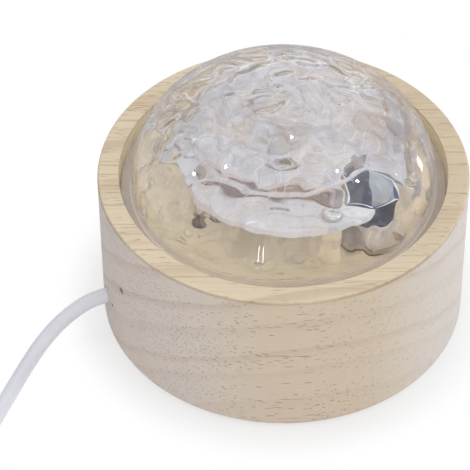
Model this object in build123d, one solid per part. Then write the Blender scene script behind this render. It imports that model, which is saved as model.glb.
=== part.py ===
"""A water ripple lamp: a turned wooden base, a clear rippled dome and a motor-driven ripple disc.

Millimetres, +Z up. The origin is the centre of the base on the surface that the lamp stands on.
The lamp is seen from -Y in its usual view, with the cord leaving towards -X.
"""

import math
import os

from build123d import *

# Wooden base
base_radius = 50.0
base_height = 47.0
foot_height = 0.6
base_top_edge = 0.8
base_bottom_edge = 1.5
seat_radius = 44.3
seat_depth = 6.5
cover_seat_radius = 40.0
pocket_inset = 6.0
pocket_radius = cover_seat_radius - pocket_inset
web_thickness = 14.0
cover_seat_depth = 2.6
wire_hole_radius = 2.6
wire_hole_circle = 24.0
wire_hole_angle = 213.0

# Dome
dome_inset = 3.1
dome_wall_radius = seat_radius - dome_inset
dome_rise = 31.3
dome_side_arc = 25.9
dome_thickness = 2.0
dome_below_rim = 2.8
flange_clearance = 0.3
flange_thickness = 1.6
gasket_thickness = 0.6
gasket_width = 3.4

# Lamp deck and its posts
deck_inset = 10.2
deck_radius = dome_wall_radius - deck_inset
deck_thickness = 2.0
deck_height = 13.5
post_inset = 3.8
deck_offset = 3.2
post_circle = deck_radius - post_inset
post_radius = 2.5
post_angles = (55.0, 180.0, 292.0)
deck_screw_radius = 1.2
deck_screw_head_radius = 2.6
deck_screw_head = 1.5
deck_screw_length = 8.0
post_spigot_radius = 1.2
post_spigot_length = 6.0

# Rotor: shaft, gear, hub and ripple disc
gear_module = 0.6
gear_teeth = 48
pinion_teeth = 12
gear_width = 3.0
pinion_width = 4.0
gear_above_floor = 7.0
gear_web = 1.6
gear_rim = 2.2
gear_hub_radius = 3.2
gear_holes = 6
tooth_backlash = 0.12
rotor_shaft_radius = 1.0
shaft_clearance = 0.05
bush_radius = 2.4
bush_flange_radius = 3.6
bush_flange = 0.8
bush_length = 5.0
running_gap = 0.25
hub_flange_radius = 6.0
hub_flange = 2.8
hub_spigot_radius = 2.9
disc_inset = 6.0
disc_radius = deck_radius - disc_inset
disc_thickness = 2.0
dimple_sphere_radius = 5.0
dimple_depth = 0.7
dimple_rings = ((9.0, 7), (15.0, 12), (21.0, 17))
cap_radius = 3.4
cap_height = 1.6
shaft_above_disc = 1.0
fit_gap = 0.05

# Motor and its bracket
motor_angle = 145.0
motor_radius = 10.0
motor_flat_width = 15.4
motor_length = 22.0
motor_end_cap = 3.0
motor_boss_radius = 3.0
motor_boss_height = 1.0
motor_shaft_radius = 1.0
motor_bore_clearance = 0.6
motor_tag_offset = 6.5
motor_tag_length = 3.0
bracket_length = 31.0
bracket_width = 20.0
bracket_thickness = 1.2
bracket_screw_spacing = 25.8
motor_screw_spacing = 12.0
motor_screw_radius = 1.0
wood_screw_radius = 1.2
small_head_radius = 2.1
small_head = 1.3

# Lamp unit: heat sink, board, emitter and faceted reflector
lamp_inset = 13.0
lamp_circle = dome_wall_radius - lamp_inset
lamp_angle = -36.0
sink_radius = 9.0
sink_depth = 4.0
sink_height = 4.9
sink_room = 0.2
sink_groove = 0.9
sink_grooves = 3
lamp_board_radius = 9.5
lamp_board_thickness = 1.6
lamp_board_notch = 1.5
lamp_board_notches = 6
emitter_radius = 3.0
emitter_height = 1.4
emitter_dome_radius = 2.1
reflector_facets = 6
reflector_height = 12.4
reflector_kink_height = 4.2
reflector_bottom_radius = 4.9
reflector_kink_radius = 6.5
reflector_top_radius = 7.6
reflector_wall = 0.7
reflector_gap = 0.6

# Driver board under the web
board_length = 32.0
board_width = 22.0
board_thickness = 1.6
board_centre = (13.0, 2.0)
board_boss_radius = 2.6
board_boss_height = 4.0
board_hole_inset = 2.8
board_hole_radius = 1.1
terminal_offset = (-10.5, 1.5)
terminal_mouth = 2.5
terminal_pitch = 3.8
terminal_entry = 2.6

# Bottom cover
cover_thickness = 2.0
cover_clearance = 0.3
cover_screw_inset = 3.0
cover_screw_circle = cover_seat_radius - cover_screw_inset
cover_screw_angles = (45.0, 135.0, 225.0, 315.0)
cover_screw_length = 7.0
foot_radius = 3.8
foot_outset = 4.6
foot_circle = cover_seat_radius + foot_outset

# Cord, its hole and the clamp inside the base
cord_radius = 2.1
cord_angle = 195.0
cord_hole_height = 12.0
cord_hole_radius = 2.5
cord_inner_reach = 24.0
cord_straight_out = 9.5
cord_outer_inset = 6.5
cord_outer_reach = base_radius - cord_outer_inset
clamp_reach = 28.0
clamp_depth = 6.0
clamp_width = 17.0
clamp_top = 3.6
clamp_split = 0.3
clamp_screw_offset = 5.6
wire_radius = 0.6
wire_pitch = 1.5

# Put-away coil
coil_centre = (-111.8, 6.0)
coil_outer = 28.6
coil_pitch = 4.8
coil_layers = 4
coil_layer_turns = 2.125
coil_steps = 9

# Switch on the cord
switch_start = (-140.4, -60.0)
switch_length = 38.0
switch_width = 16.0
switch_height = 11.0
switch_split = 5.6
switch_wall = 1.4
switch_cord_height = 5.2
button_radius = 3.8
button_clearance = 0.25
button_proud = 1.6
button_travel = 1.2
core_side = 7.0
core_height = 4.4
core_plunger = 0.6

# Plug
plug_relief_length = 8.0
plug_relief_radius = 3.0
plug_body_length = 20.0
plug_body_width = 15.0
plug_body_height = 8.0
plug_shell_length = 14.0
plug_shell_width = 12.0
plug_shell_height = 4.5
plug_shell_wall = 0.35
plug_tongue_height = 1.9
plug_contacts = 4

# Levels worked out from the sizes above
wood_bottom = foot_height
rim_level = wood_bottom + base_height
floor_level = rim_level - seat_depth
web_level = floor_level - web_thickness
cover_top = wood_bottom + cover_seat_depth
flange_level = floor_level + gasket_thickness
flange_radius = seat_radius - flange_clearance
dome_spring = rim_level - dome_below_rim
deck_level = floor_level + deck_height
deck_top = deck_level + deck_thickness
gear_level = floor_level + gear_above_floor
gear_radius = gear_module * gear_teeth / 2
pinion_radius = gear_module * pinion_teeth / 2
shaft_distance = gear_radius + pinion_radius
hub_level = deck_top + bush_flange + running_gap
disc_level = hub_level + hub_flange
disc_top = disc_level + disc_thickness
shaft_bottom = gear_level - 1.0
shaft_top = disc_top + shaft_above_disc
sink_level = floor_level - sink_depth
lamp_board_level = sink_level + sink_height
reflector_level = lamp_board_level + lamp_board_thickness
cord_level = wood_bottom + cord_hole_height
board_level = cover_top + board_boss_height
terminal_face = board_centre[0] + terminal_offset[0] - terminal_mouth
terminal_row = board_centre[1] + terminal_offset[1]
terminal_level = board_level + board_thickness + terminal_entry
lead_level = deck_top + wire_radius + 0.1


def polar(radius, degrees, level=0.0):
    """A place by its radius and angle round the lamp's axis."""
    turn = math.radians(degrees)
    return (radius * math.cos(turn), radius * math.sin(turn), level)


motor_place = polar(shaft_distance, motor_angle)
lamp_place = polar(lamp_circle, lamp_angle)
deck_centre = polar(deck_offset, lamp_angle)


def drum(radius, low, high, at=(0, 0)):
    """An upright round solid between two levels."""
    return Pos(at[0], at[1], low) * Cylinder(
        radius, high - low, align=(Align.CENTER, Align.CENTER, Align.MIN)
    )


def block(length, width, low, high, at=(0, 0), turn=0.0):
    """An upright box between two levels, turned about its own middle."""
    return (
        Pos(at[0], at[1], low)
        * Rot(0, 0, turn)
        * Box(length, width, high - low, align=(Align.CENTER, Align.CENTER, Align.MIN))
    )


def rounded_plate(length, width, corner, low, high, at=(0, 0), turn=0.0):
    """A flat plate with rounded corners between two levels."""
    return (
        Pos(at[0], at[1], low)
        * Rot(0, 0, turn)
        * extrude(RectangleRounded(length, width, corner), high - low)
    )


def group(parts):
    """Separate solids that share one node."""
    return Compound(children=list(parts))


def screw(place, seat, shank_radius, length, head_radius, head_height, up=True):
    """A pan head screw: its seat is the face under its head, and it points down where up is true."""
    shank = drum(shank_radius, -length, 0)
    head = drum(head_radius, 0, head_height)
    head = fillet(head.edges().group_by(Axis.Z)[-1], head_height * 0.45)
    slot_depth = head_height * 0.45
    cross = block(head_radius * 1.1, head_height * 0.3, head_height - slot_depth, head_height)
    cross += Rot(0, 0, 90) * cross
    one = shank + (head - cross)
    one = one if up else Rot(180, 0, 0) * one
    return Pos(place[0], place[1], seat) * one


def along_cord(reach):
    """The place on the cord's axis inside the base at a radius, with Z pointing out of the base."""
    place = polar(reach, cord_angle, cord_level)
    return Pos(*place) * Rot(0, 0, cord_angle) * Rot(0, 90, 0)


def wooden_base():
    """The turned block: rim, dome seat, web with its bores, pocket, cover seat and cord hole."""
    block_ = drum(base_radius, wood_bottom, rim_level)
    block_ = fillet(block_.edges().group_by(Axis.Z)[-1], base_top_edge)
    block_ = fillet(block_.edges().group_by(Axis.Z)[0], base_bottom_edge)
    block_ -= drum(seat_radius, floor_level, rim_level + 1)
    block_ -= drum(pocket_radius, wood_bottom - 1, web_level)
    block_ -= drum(cover_seat_radius, wood_bottom - 1, cover_top)
    block_ -= drum(motor_radius + motor_bore_clearance, web_level - 1, floor_level + 1, motor_place)
    block_ -= drum(wire_hole_radius, web_level - 1, floor_level + 1, wire_hole)
    block_ -= drum(sink_radius + sink_room, sink_level, floor_level + 1, lamp_place)
    bore = Cylinder(cord_hole_radius, base_radius, align=(Align.CENTER, Align.CENTER, Align.MIN))
    block_ -= along_cord(pocket_radius - 4) * bore
    for angle in cover_screw_angles:
        block_ -= drum(
            wood_screw_radius + fit_gap,
            cover_top - 1,
            cover_top + cover_screw_length,
            polar(cover_screw_circle, angle),
        )
    for angle in post_angles:
        block_ -= drum(
            post_spigot_radius + fit_gap,
            floor_level - post_spigot_length - 0.5,
            floor_level + 1,
            post_place(angle),
        )
    for place in bracket_screw_places():
        block_ -= drum(wood_screw_radius + fit_gap, floor_level - 6.5, floor_level + 1, place)
    return block_


wire_hole = polar(wire_hole_circle, wire_hole_angle)


def bracket_screw_places():
    """The two wood screws of the motor bracket, in line with the lamp's axis."""
    half = bracket_screw_spacing / 2
    return [polar(shaft_distance + side * half, motor_angle) for side in (-1, 1)]


def motor_screw_places():
    """The two small screws into the motor's face, either side of its shaft."""
    across = math.radians(motor_angle + 90)
    half = motor_screw_spacing / 2
    return [
        (
            motor_place[0] + side * half * math.cos(across),
            motor_place[1] + side * half * math.sin(across),
        )
        for side in (-1, 1)
    ]


def board_hole_places():
    """The two diagonal holes of the driver board."""
    half_x = board_length / 2 - board_hole_inset
    half_y = board_width / 2 - board_hole_inset
    return [(board_centre[0] + s * half_x, board_centre[1] + s * half_y) for s in (-1, 1)]


def clamp_block(low, high, groove_radius):
    """One half of the cord clamp between two levels, with its half-round groove."""
    middle = polar(clamp_reach, cord_angle)
    half = block(clamp_depth, clamp_width, low, high, middle, cord_angle)
    groove = Cylinder(groove_radius, clamp_depth + 2)
    return half - along_cord(clamp_reach) * groove


def clamp_screw_places():
    """The two screws of the clamp, either side of the cord."""
    across = math.radians(cord_angle + 90)
    middle = polar(clamp_reach, cord_angle)
    return [
        (
            middle[0] + side * clamp_screw_offset * math.cos(across),
            middle[1] + side * clamp_screw_offset * math.sin(across),
        )
        for side in (-1, 1)
    ]


def bottom_cover():
    """The moulded cover in the base's underside, with the board's bosses and the lower clamp half."""
    cover = drum(cover_seat_radius - cover_clearance, cover_top - cover_thickness, cover_top)
    for place in board_hole_places():
        cover += drum(board_boss_radius, cover_top, board_level, place)
        cover -= drum(board_hole_radius, cover_top + 0.5, board_level + 1, place)
    cover += clamp_block(cover_top, cord_level - clamp_split / 2, cord_radius + fit_gap)
    for place in clamp_screw_places():
        cover -= drum(board_hole_radius, cover_top + 1.5, cord_level + 1, place)
    for angle in cover_screw_angles:
        cover -= drum(wood_screw_radius + 0.3, 0, cover_top + 1, polar(cover_screw_circle, angle))
    return cover


def cover_screws():
    """Four short wood screws that hold the bottom cover, heads below."""
    seat = cover_top - cover_thickness
    length = cover_screw_length + cover_thickness - 1
    return group(
        screw(
            polar(cover_screw_circle, angle),
            seat,
            wood_screw_radius,
            length,
            small_head_radius,
            seat - 0.2,
            up=False,
        )
        for angle in cover_screw_angles
    )


def feet():
    """Four rubber dots under the wooden rim."""
    dots = []
    for angle in cover_screw_angles:
        dots.append(drum(foot_radius, 0, foot_height, polar(foot_circle, angle)))
    return group(dots)


def driver_board():
    """The small board that feeds the lamp and the motor."""
    half_level = board_level + board_thickness
    board = rounded_plate(board_length, board_width, 1.0, board_level, half_level, board_centre)
    for place in board_hole_places():
        board -= drum(board_hole_radius, board_level - 1, half_level + 1, place)
    return board


def board_parts():
    """What is soldered on the driver board: terminal block, coil, capacitor and chip."""
    top = board_level + board_thickness
    x, y = board_centre
    middle = (x + terminal_offset[0], y + terminal_offset[1])
    terminal = block(5.0, 12.0, top, top + 6.0, middle)
    for step in (-1, 0, 1):
        way = (terminal_face, middle[1] + terminal_pitch * step)
        terminal -= block(3.0, 2.4, top + 1.2, top + 4.0, way)
        terminal -= drum(1.1, top + 4.5, top + 7.0, (middle[0], way[1]))
    inductor = drum(3.4, top, top + 4.6, (x - 1.5, y + 4.0))
    inductor -= drum(3.5, top + 1.2, top + 3.4, (x - 1.5, y + 4.0)) - drum(
        2.5, top + 1.2, top + 3.4, (x - 1.5, y + 4.0)
    )
    capacitor = drum(3.1, top, top + 8.0, (x + 8.5, y - 4.0))
    capacitor = fillet(capacitor.edges().group_by(Axis.Z)[-1], 0.6)
    chip = block(5.0, 4.0, top, top + 1.5, (x - 1.0, y - 5.0))
    return group([terminal, inductor, capacitor, chip])


def board_screws():
    """Two screws through the driver board into the cover's bosses."""
    return group(
        screw(place, board_level + board_thickness, 1.0, 4.6, small_head_radius, small_head)
        for place in board_hole_places()
    )


def cord_clamp():
    """The upper half of the clamp that holds the cord inside the base."""
    top = cord_level + cord_radius + clamp_top - 1.6
    saddle = clamp_block(cord_level + clamp_split / 2, top, cord_radius + fit_gap)
    for place in clamp_screw_places():
        saddle -= drum(board_hole_radius, cord_level - 1, top + 1, place)
    return saddle


def clamp_screws():
    """Two screws that pull the clamp's halves together."""
    top = cord_level + cord_radius + clamp_top - 1.6
    return group(
        screw(place, top, 1.0, 9.0, small_head_radius, small_head) for place in clamp_screw_places()
    )


def flatted(radius, width, low, high):
    """A round bar with two flats, the section of a small motor's can."""
    return drum(radius, low, high) & block(radius * 2, width, low, high)


def motor_can():
    """The motor's steel can, which hangs in its bore under the bracket."""
    low = floor_level - motor_length + motor_end_cap
    can = flatted(motor_radius, motor_flat_width, low, floor_level)
    can = fillet(can.edges().group_by(Axis.Z)[-1], 0.8)
    can += drum(motor_boss_radius, floor_level, floor_level + motor_boss_height)
    can -= drum(motor_shaft_radius + shaft_clearance, low - 1, floor_level + motor_boss_height + 1)
    placed = Pos(*motor_place) * Rot(0, 0, motor_angle) * can
    for place in motor_screw_places():
        placed -= drum(motor_screw_radius, floor_level - 3.2, floor_level + 1, place)
    return placed


def motor_cap():
    """The moulded rear cap of the motor, with its two terminals."""
    high = floor_level - motor_length + motor_end_cap
    low = high - motor_end_cap
    cap = flatted(motor_radius - 0.5, motor_flat_width - 1.0, low, high)
    cap -= drum(motor_shaft_radius + shaft_clearance, high - 1.5, high + 1)
    for side in (-1, 1):
        cap += block(0.5, 2.2, low - motor_tag_length, low, (side * motor_tag_offset, 0))
    return Pos(*motor_place) * Rot(0, 0, motor_angle) * cap


def motor_bracket():
    """The steel plate that carries the motor on the web."""
    low, high = floor_level, floor_level + bracket_thickness
    plate = rounded_plate(bracket_length, bracket_width, 4.0, low, high, motor_place, motor_angle)
    plate -= drum(motor_boss_radius + 0.2, low - 1, high + 1, motor_place)
    for place in motor_screw_places():
        plate -= drum(motor_screw_radius + 0.2, low - 1, high + 1, place)
    for place in bracket_screw_places():
        plate -= drum(wood_screw_radius + 0.3, low - 1, high + 1, place)
    return plate


def motor_screws():
    """Two small screws that hold the motor to its bracket."""
    seat = floor_level + bracket_thickness
    return group(
        screw(place, seat, motor_screw_radius - fit_gap, 4.0, 1.8, small_head)
        for place in motor_screw_places()
    )


def bracket_screws():
    """Two wood screws that hold the bracket to the web."""
    seat = floor_level + bracket_thickness
    return group(
        screw(place, seat, wood_screw_radius, 7.0, small_head_radius, small_head)
        for place in bracket_screw_places()
    )


def slot(length, width, place, turn):
    """A round-ended cut through the deck."""
    cut = extrude(SlotOverall(length, width), deck_thickness + 2)
    return Pos(place[0], place[1], deck_level - 1) * Rot(0, 0, turn) * cut


lead_slot_out = (12.4, -20.6)

# Long holes of the deck: length, width, place and turn
deck_slots = (
    (8.0, 3.0, wire_hole, 120.0),
    (6.0, 3.4, lead_slot_out, -20.0),
    (9.0, 2.6, (1.0, -10.5), 0.0),
    (7.0, 2.0, (-0.5, -25.0), 0.0),
    (10.0, 3.0, (-6.0, 14.0), 25.0),
)


def post_place(angle):
    """The place of a deck post, at an angle round the deck's own centre."""
    x, y, level = polar(post_circle, angle)
    return (deck_centre[0] + x, deck_centre[1] + y, level)


def deck():
    """The white lamp deck: a round board on three posts, notched where the reflector stands."""
    plate = drum(deck_radius, deck_level, deck_top, deck_centre)
    plate -= drum(bush_radius, deck_level - 1, deck_top + 1)
    plate -= drum(reflector_top_radius + reflector_gap, deck_level - 1, deck_top + 1, lamp_place)
    for angle in post_angles:
        plate -= drum(deck_screw_radius + 0.2, deck_level - 1, deck_top + 1, post_place(angle))
    for length, width, place, turn in deck_slots:
        plate -= slot(length, width, place, turn)
    return plate


def deck_posts():
    """Three turned posts, screwed into the web, that carry the deck."""
    posts = []
    for angle in post_angles:
        place = post_place(angle)
        post = drum(post_radius, floor_level, deck_level, place)
        post += drum(post_spigot_radius, floor_level - post_spigot_length, floor_level, place)
        post -= drum(
            deck_screw_radius + fit_gap,
            deck_top - deck_screw_length - 0.5,
            deck_level + 1,
            place,
        )
        posts.append(post)
    return group(posts)


def deck_screws():
    """Three pan head screws through the deck into its posts."""
    return group(
        screw(
            post_place(angle),
            deck_top,
            deck_screw_radius,
            deck_screw_length,
            deck_screw_head_radius,
            deck_screw_head,
        )
        for angle in post_angles
    )


def shaft_bush():
    """The flanged brass bush in the deck, in which the rotor's shaft runs."""
    bush = drum(bush_radius, deck_top - bush_length, deck_top)
    bush += drum(bush_flange_radius, deck_top, deck_top + bush_flange)
    bore = drum(rotor_shaft_radius + shaft_clearance, deck_level - bush_length, deck_top + 2)
    return bush - bore


def involute_gear(teeth, width, thin):
    """A spur gear's blank with involute flanks: each flank is three points of r = base / cos(angle)."""
    pitch = gear_module * teeth / 2
    base = pitch * math.cos(math.radians(20))
    tip = pitch + 0.85 * gear_module
    root = pitch - 1.1 * gear_module
    half_tooth = math.pi / (2 * teeth) - thin / (2 * pitch)

    def involute(radius):
        """The angle that the flank has turned through at a radius."""
        press = math.acos(min(1.0, base / radius))
        return math.tan(press) - press

    low = max(base, root + 0.1 * gear_module)
    radii = [low + (tip - low) * step / 3 for step in range(4)]
    outline = []
    for tooth in range(teeth):
        middle = 2 * math.pi * tooth / teeth
        flank = [(r, half_tooth + involute(pitch) - involute(r)) for r in radii]
        side = [(root, flank[0][1])] + flank
        outline += [(r, middle - a) for r, a in side]
        outline += [(r, middle + a) for r, a in reversed(side)]
    points = [(r * math.cos(a), r * math.sin(a)) for r, a in outline]
    return extrude(make_face(Polyline(*points, close=True)), width)


def rotor_gear():
    """The large gear on the rotor's shaft: a rim and hub joined by a thin web with round holes."""
    gear = involute_gear(gear_teeth, gear_width, tooth_backlash)
    inner_rim = gear_radius - 1.1 * gear_module - gear_rim
    recess = (gear_width - gear_web) / 2
    for low in (0, gear_width - recess):
        gear -= drum(inner_rim, low, low + recess) - drum(gear_hub_radius, low, low + recess)
    for step in range(gear_holes):
        place = polar((inner_rim + gear_hub_radius) / 2, 360 / gear_holes * step)
        gear -= drum(1.9, -1, gear_width + 1, place)
    gear -= drum(rotor_shaft_radius + fit_gap / 2, -1, gear_width + 1)
    return Pos(0, 0, gear_level) * Rot(0, 0, motor_angle) * gear


def pinion():
    """The small gear on the motor's shaft, one of its gaps towards the large gear."""
    gear = involute_gear(pinion_teeth, pinion_width, tooth_backlash)
    gear -= drum(motor_shaft_radius + fit_gap / 2, -1, pinion_width + 1)
    level = gear_level - (pinion_width - gear_width) / 2
    half_step = 180 / pinion_teeth
    return Pos(motor_place[0], motor_place[1], level) * Rot(0, 0, motor_angle + half_step) * gear


def motor_shaft():
    """The motor's steel shaft."""
    low = floor_level - motor_length + motor_end_cap - 1.2
    high = gear_level + (pinion_width + gear_width) / 2 + 0.8
    return drum(motor_shaft_radius, low, high, motor_place)


def rotor_shaft():
    """The steel shaft that joins the large gear to the hub."""
    return drum(rotor_shaft_radius, shaft_bottom, shaft_top)


def rotor_hub():
    """The moulded hub that carries the ripple disc."""
    hub = drum(hub_flange_radius, hub_level, disc_level)
    hub = fillet(hub.edges().group_by(Axis.Z)[0], 0.5)
    hub += drum(hub_spigot_radius, disc_level, disc_top)
    return hub - drum(rotor_shaft_radius + fit_gap / 2, hub_level - 1, disc_top + 1)


def ripple_disc():
    """The clear disc whose rings of shallow dimples bend the light as it turns."""
    disc = drum(disc_radius, disc_level, disc_top)
    disc = fillet(disc.edges(), 0.5)
    disc -= drum(hub_spigot_radius + fit_gap, disc_level - 1, disc_top + 1)
    lift = disc_top + dimple_sphere_radius - dimple_depth
    for ring, (radius, count) in enumerate(dimple_rings):
        for step in range(count):
            angle = 360 / count * (step + 0.5 * (ring % 2))
            place = polar(radius, angle)
            disc -= Pos(place[0], place[1], lift) * Sphere(dimple_sphere_radius)
    return disc


def rotor_cap():
    """The push-on cap that keeps the disc on its hub."""
    cap = drum(cap_radius, disc_top, disc_top + cap_height)
    cap = fillet(cap.edges().group_by(Axis.Z)[-1], 0.7)
    return cap - drum(rotor_shaft_radius + fit_gap / 2, disc_top - 1, shaft_top + 0.1)


def heat_sink():
    """The turned aluminium slug under the lamp board, let into the web."""
    sink = drum(sink_radius, sink_level, lamp_board_level, lamp_place)
    step = sink_height / (sink_grooves + 1)
    for ring in range(sink_grooves):
        middle = sink_level + step * (ring + 1)
        low, high = middle - sink_groove / 2, middle + sink_groove / 2
        ring_cut = drum(sink_radius + 1, low, high, lamp_place)
        sink -= ring_cut - drum(sink_radius - 1.6, low, high, lamp_place)
    return sink


def lamp_board():
    """The round aluminium board that the emitter is soldered to, notched round its edge."""
    board = drum(lamp_board_radius, lamp_board_level, reflector_level)
    for step in range(lamp_board_notches):
        place = polar(lamp_board_radius, 360 / lamp_board_notches * step)
        board -= drum(lamp_board_notch, lamp_board_level - 1, reflector_level + 1, place)
    return Pos(*lamp_place) * Rot(0, 0, lamp_angle) * board


def emitter():
    """The light-emitting chip: a round body under a small clear dome."""
    low = reflector_level
    body = drum(emitter_radius, low, low + emitter_height)
    dome_ = Pos(0, 0, low + emitter_height - 0.4) * Sphere(emitter_dome_radius)
    dome_ &= drum(emitter_radius, low + emitter_height, low + 2 * emitter_dome_radius)
    return Pos(*lamp_place) * (body + dome_)


def facet_cup(grow):
    """A many-sided cup in two tiers of flat facets."""
    sides = []
    tiers = (
        (0.0, reflector_bottom_radius),
        (reflector_kink_height, reflector_kink_radius),
        (reflector_height, reflector_top_radius),
    )
    for level, radius in tiers:
        ring = RegularPolygon(radius + grow, reflector_facets, major_radius=True)
        sides.append(Pos(0, 0, level) * ring)
    lower = loft([sides[0], sides[1]], ruled=True)
    return lower + loft([sides[1], sides[2]], ruled=True)


def reflector():
    """The bright faceted cup round the emitter, open at both ends."""
    cup = facet_cup(0.0) - facet_cup(-reflector_wall)
    place = (lamp_place[0], lamp_place[1], reflector_level)
    return Pos(*place) * Rot(0, 0, lamp_angle + 10) * cup


def dome_arcs(inset):
    """The dome's outline as two tangent arcs, a side and a crown, moved inwards by an amount."""
    across = dome_wall_radius - dome_side_arc
    crown = (across**2 + dome_rise**2 - dome_side_arc**2) / (2 * (dome_rise - dome_side_arc))
    turn = math.degrees(math.atan2(crown - dome_rise, across))
    middle = dome_spring + dome_rise - crown
    return [
        CenterArc((across, dome_spring), dome_side_arc - inset, 0, turn),
        CenterArc((0, middle), crown - inset, turn, 90 - turn),
    ]


def dome():
    """The clear dome: a flange in the wooden seat, a short upright wall and a domed cap."""
    low = flange_level
    top = low + flange_thickness
    inner = dome_wall_radius - dome_thickness
    crown_top = dome_spring + dome_rise
    outline = Curve() + [
        *dome_arcs(0),
        Line((0, crown_top), (0, crown_top - dome_thickness)),
        *dome_arcs(dome_thickness),
        Polyline(
            (inner, dome_spring),
            (inner, low),
            (flange_radius, low),
            (flange_radius, top),
            (dome_wall_radius, top),
            (dome_wall_radius, dome_spring),
        ),
    ]
    return Rot(90, 0, 0) * revolve(make_face(outline), Axis.Y)


def dome_gasket():
    """The soft ring between the dome's flange and the wood."""
    ring = drum(flange_radius, floor_level, flange_level)
    return ring - drum(flange_radius - gasket_width, floor_level - 1, flange_level + 1)


def tube(points, radius, note):
    """A round tube along straight runs joined by tangent arcs, each as large as its runs allow."""
    places = [Vector(*point) for point in points]
    runs = [b - a for a, b in zip(places, places[1:])]
    radii = []
    for before, after in zip(runs, runs[1:]):
        shorter = min(before.length, after.length)
        radii.append(0.45 * shorter / math.tan(math.radians(before.get_angle(after)) / 2))
    if radii:
        path = FilletPolyline(*places, radius=radii)
    else:
        path = Line(places[0], places[1])
    section = Plane(origin=places[0], z_dir=runs[0]) * Circle(radius)
    swept = sweep(section, path=path)
    ratio = swept.volume / (math.pi * radius**2 * path.length)
    least = min(radii, default=0.0)
    print(f"{note}: length {path.length:.1f}, volume ratio {ratio:.4f}, least radius {least:.1f}")
    return swept


def cord_entry():
    """The stretch of cord held inside the base, from the clamp to the mouth of its hole."""
    inner = polar(cord_inner_reach, cord_angle, cord_level)
    outer = polar(cord_outer_reach, cord_angle, cord_level)
    return tube([inner, outer], cord_radius, "cord entry")


def cord_lead():
    """The free cord from the base's hole to the switch, laid round a wide bend."""
    flat = cord_radius
    start = polar(cord_outer_reach, cord_angle, cord_level)
    points = [
        start,
        polar(cord_outer_reach + cord_straight_out, cord_angle, cord_level),
        (-59.6, -18.3, 8.9),
        (-65.7, -23.5, 4.5),
        (-70.1, -31.3, flat),
        (-73.7, -41.2, flat),
        (-77.6, -52.3, flat),
        (-82.0, -63.4, flat),
        (-86.4, -74.6, flat),
        (-94.9, -83.3, flat),
        (-106.1, -88.0, flat),
        (-122.8, -88.0, flat),
        (-130.9, -84.6, flat),
        (-137.1, -78.5, 3.3),
        (switch_start[0], -70.4, switch_cord_height),
        (switch_start[0], switch_start[1], switch_cord_height),
    ]
    return tube(points, cord_radius, "cord lead")


def cord_link():
    """The short cord between the switch and the coil."""
    x = switch_start[0]
    end = switch_start[1] + switch_length
    points = [
        (x, end, switch_cord_height),
        (x, -14.2, switch_cord_height),
        (x, -6.0, cord_radius),
        (x, coil_centre[1] - 2 * cord_radius, cord_radius),
    ]
    return tube(points, cord_radius, "cord link")


def cord_tail():
    """The last stretch of cord, down from the coil's top layer to the plug."""
    x, y = coil_centre[0] + coil_outer, coil_centre[1] - 2 * cord_radius
    top = cord_radius + (coil_layers - 1) * coil_pitch
    plug_level = plug_body_height / 2
    points = [
        (x, y, top),
        (x, -7.6, top),
        (-85.1, -17.5, 12.9),
        (-88.3, -26.4, 8.0),
        (*tail_bend, plug_level),
        (*plug_start, plug_level),
    ]
    return tube(points, cord_radius, "cord tail")


tail_bend = (-92.3, -34.7)
plug_start = (-96.1, -42.6)
plug_run = (plug_start[0] - tail_bend[0], plug_start[1] - tail_bend[1])
plug_heading = math.degrees(math.atan2(plug_run[1], plug_run[0]))


def coil_place(turns):
    """The coil's centreline: its radius goes in and out, and it climbs where the radius turns back."""
    layer = turns / coil_layer_turns
    fold = layer % 2
    inward = fold if fold <= 1 else 2 - fold
    radius = coil_outer - coil_pitch * coil_layer_turns * inward
    climb = coil_layer_turns / coil_steps
    level = 0.0
    for turn_back in range(1, coil_layers):
        past = (turns - turn_back * coil_layer_turns) / climb
        share = min(1.0, max(0.0, (past + 1) / 2))
        level += share * share * (3 - 2 * share)
    angle = math.pi - 2 * math.pi * turns
    return Vector(
        coil_centre[0] + radius * math.cos(angle),
        coil_centre[1] + radius * math.sin(angle),
        cord_radius + level * coil_pitch,
    )


def coil_heading(turns):
    """The direction of the coil's centreline, level at the ends and steady through each turn back."""
    total = coil_layers * coil_layer_turns
    angle = math.pi - 2 * math.pi * turns
    if turns < 1e-6 or turns > total - 1e-6:
        return Vector(math.sin(angle), -math.cos(angle), 0)
    small = 0.004
    return (coil_place(turns + small) - coil_place(turns - small)).normalized()


def biarc(start, first, end, last):
    """Two tangent arcs between two places with a heading at each."""
    chord = end - start
    both = first + last
    spare = 2 * (1 - first.dot(last))
    along = chord.dot(both)
    reach = (-along + math.sqrt(along**2 + spare * chord.length**2)) / spare
    middle = (start + end + (first - last) * reach) * 0.5
    one = TangentArc(start, middle, tangent=first)
    return [one, TangentArc(middle, end, tangent=one % 1)]


def cord_coil():
    """The put-away length: one unbroken tube in layers that spiral in and out."""
    total = coil_layers * coil_layer_turns
    count = coil_layers * coil_steps
    stops = [total * step / count for step in range(count + 1)]
    lead = 2 * cord_radius
    first, last = coil_place(0), coil_place(total)
    before, after = coil_heading(0), coil_heading(total)
    edges = [Line(first - before * lead, first)]
    for low, high in zip(stops, stops[1:]):
        edges += biarc(coil_place(low), coil_heading(low), coil_place(high), coil_heading(high))
    edges.append(Line(last, last + after * lead))
    path = Wire(edges)
    section = Plane(origin=first - before * lead, z_dir=before) * Circle(cord_radius)
    swept = sweep(section, path=path)
    ratio = swept.volume / (math.pi * cord_radius**2 * path.length)
    print(f"cord coil: length {path.length:.1f}, volume ratio {ratio:.4f}")
    print(f"cord coil: least gap to itself {coil_gap(path):.2f}")
    return swept


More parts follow.
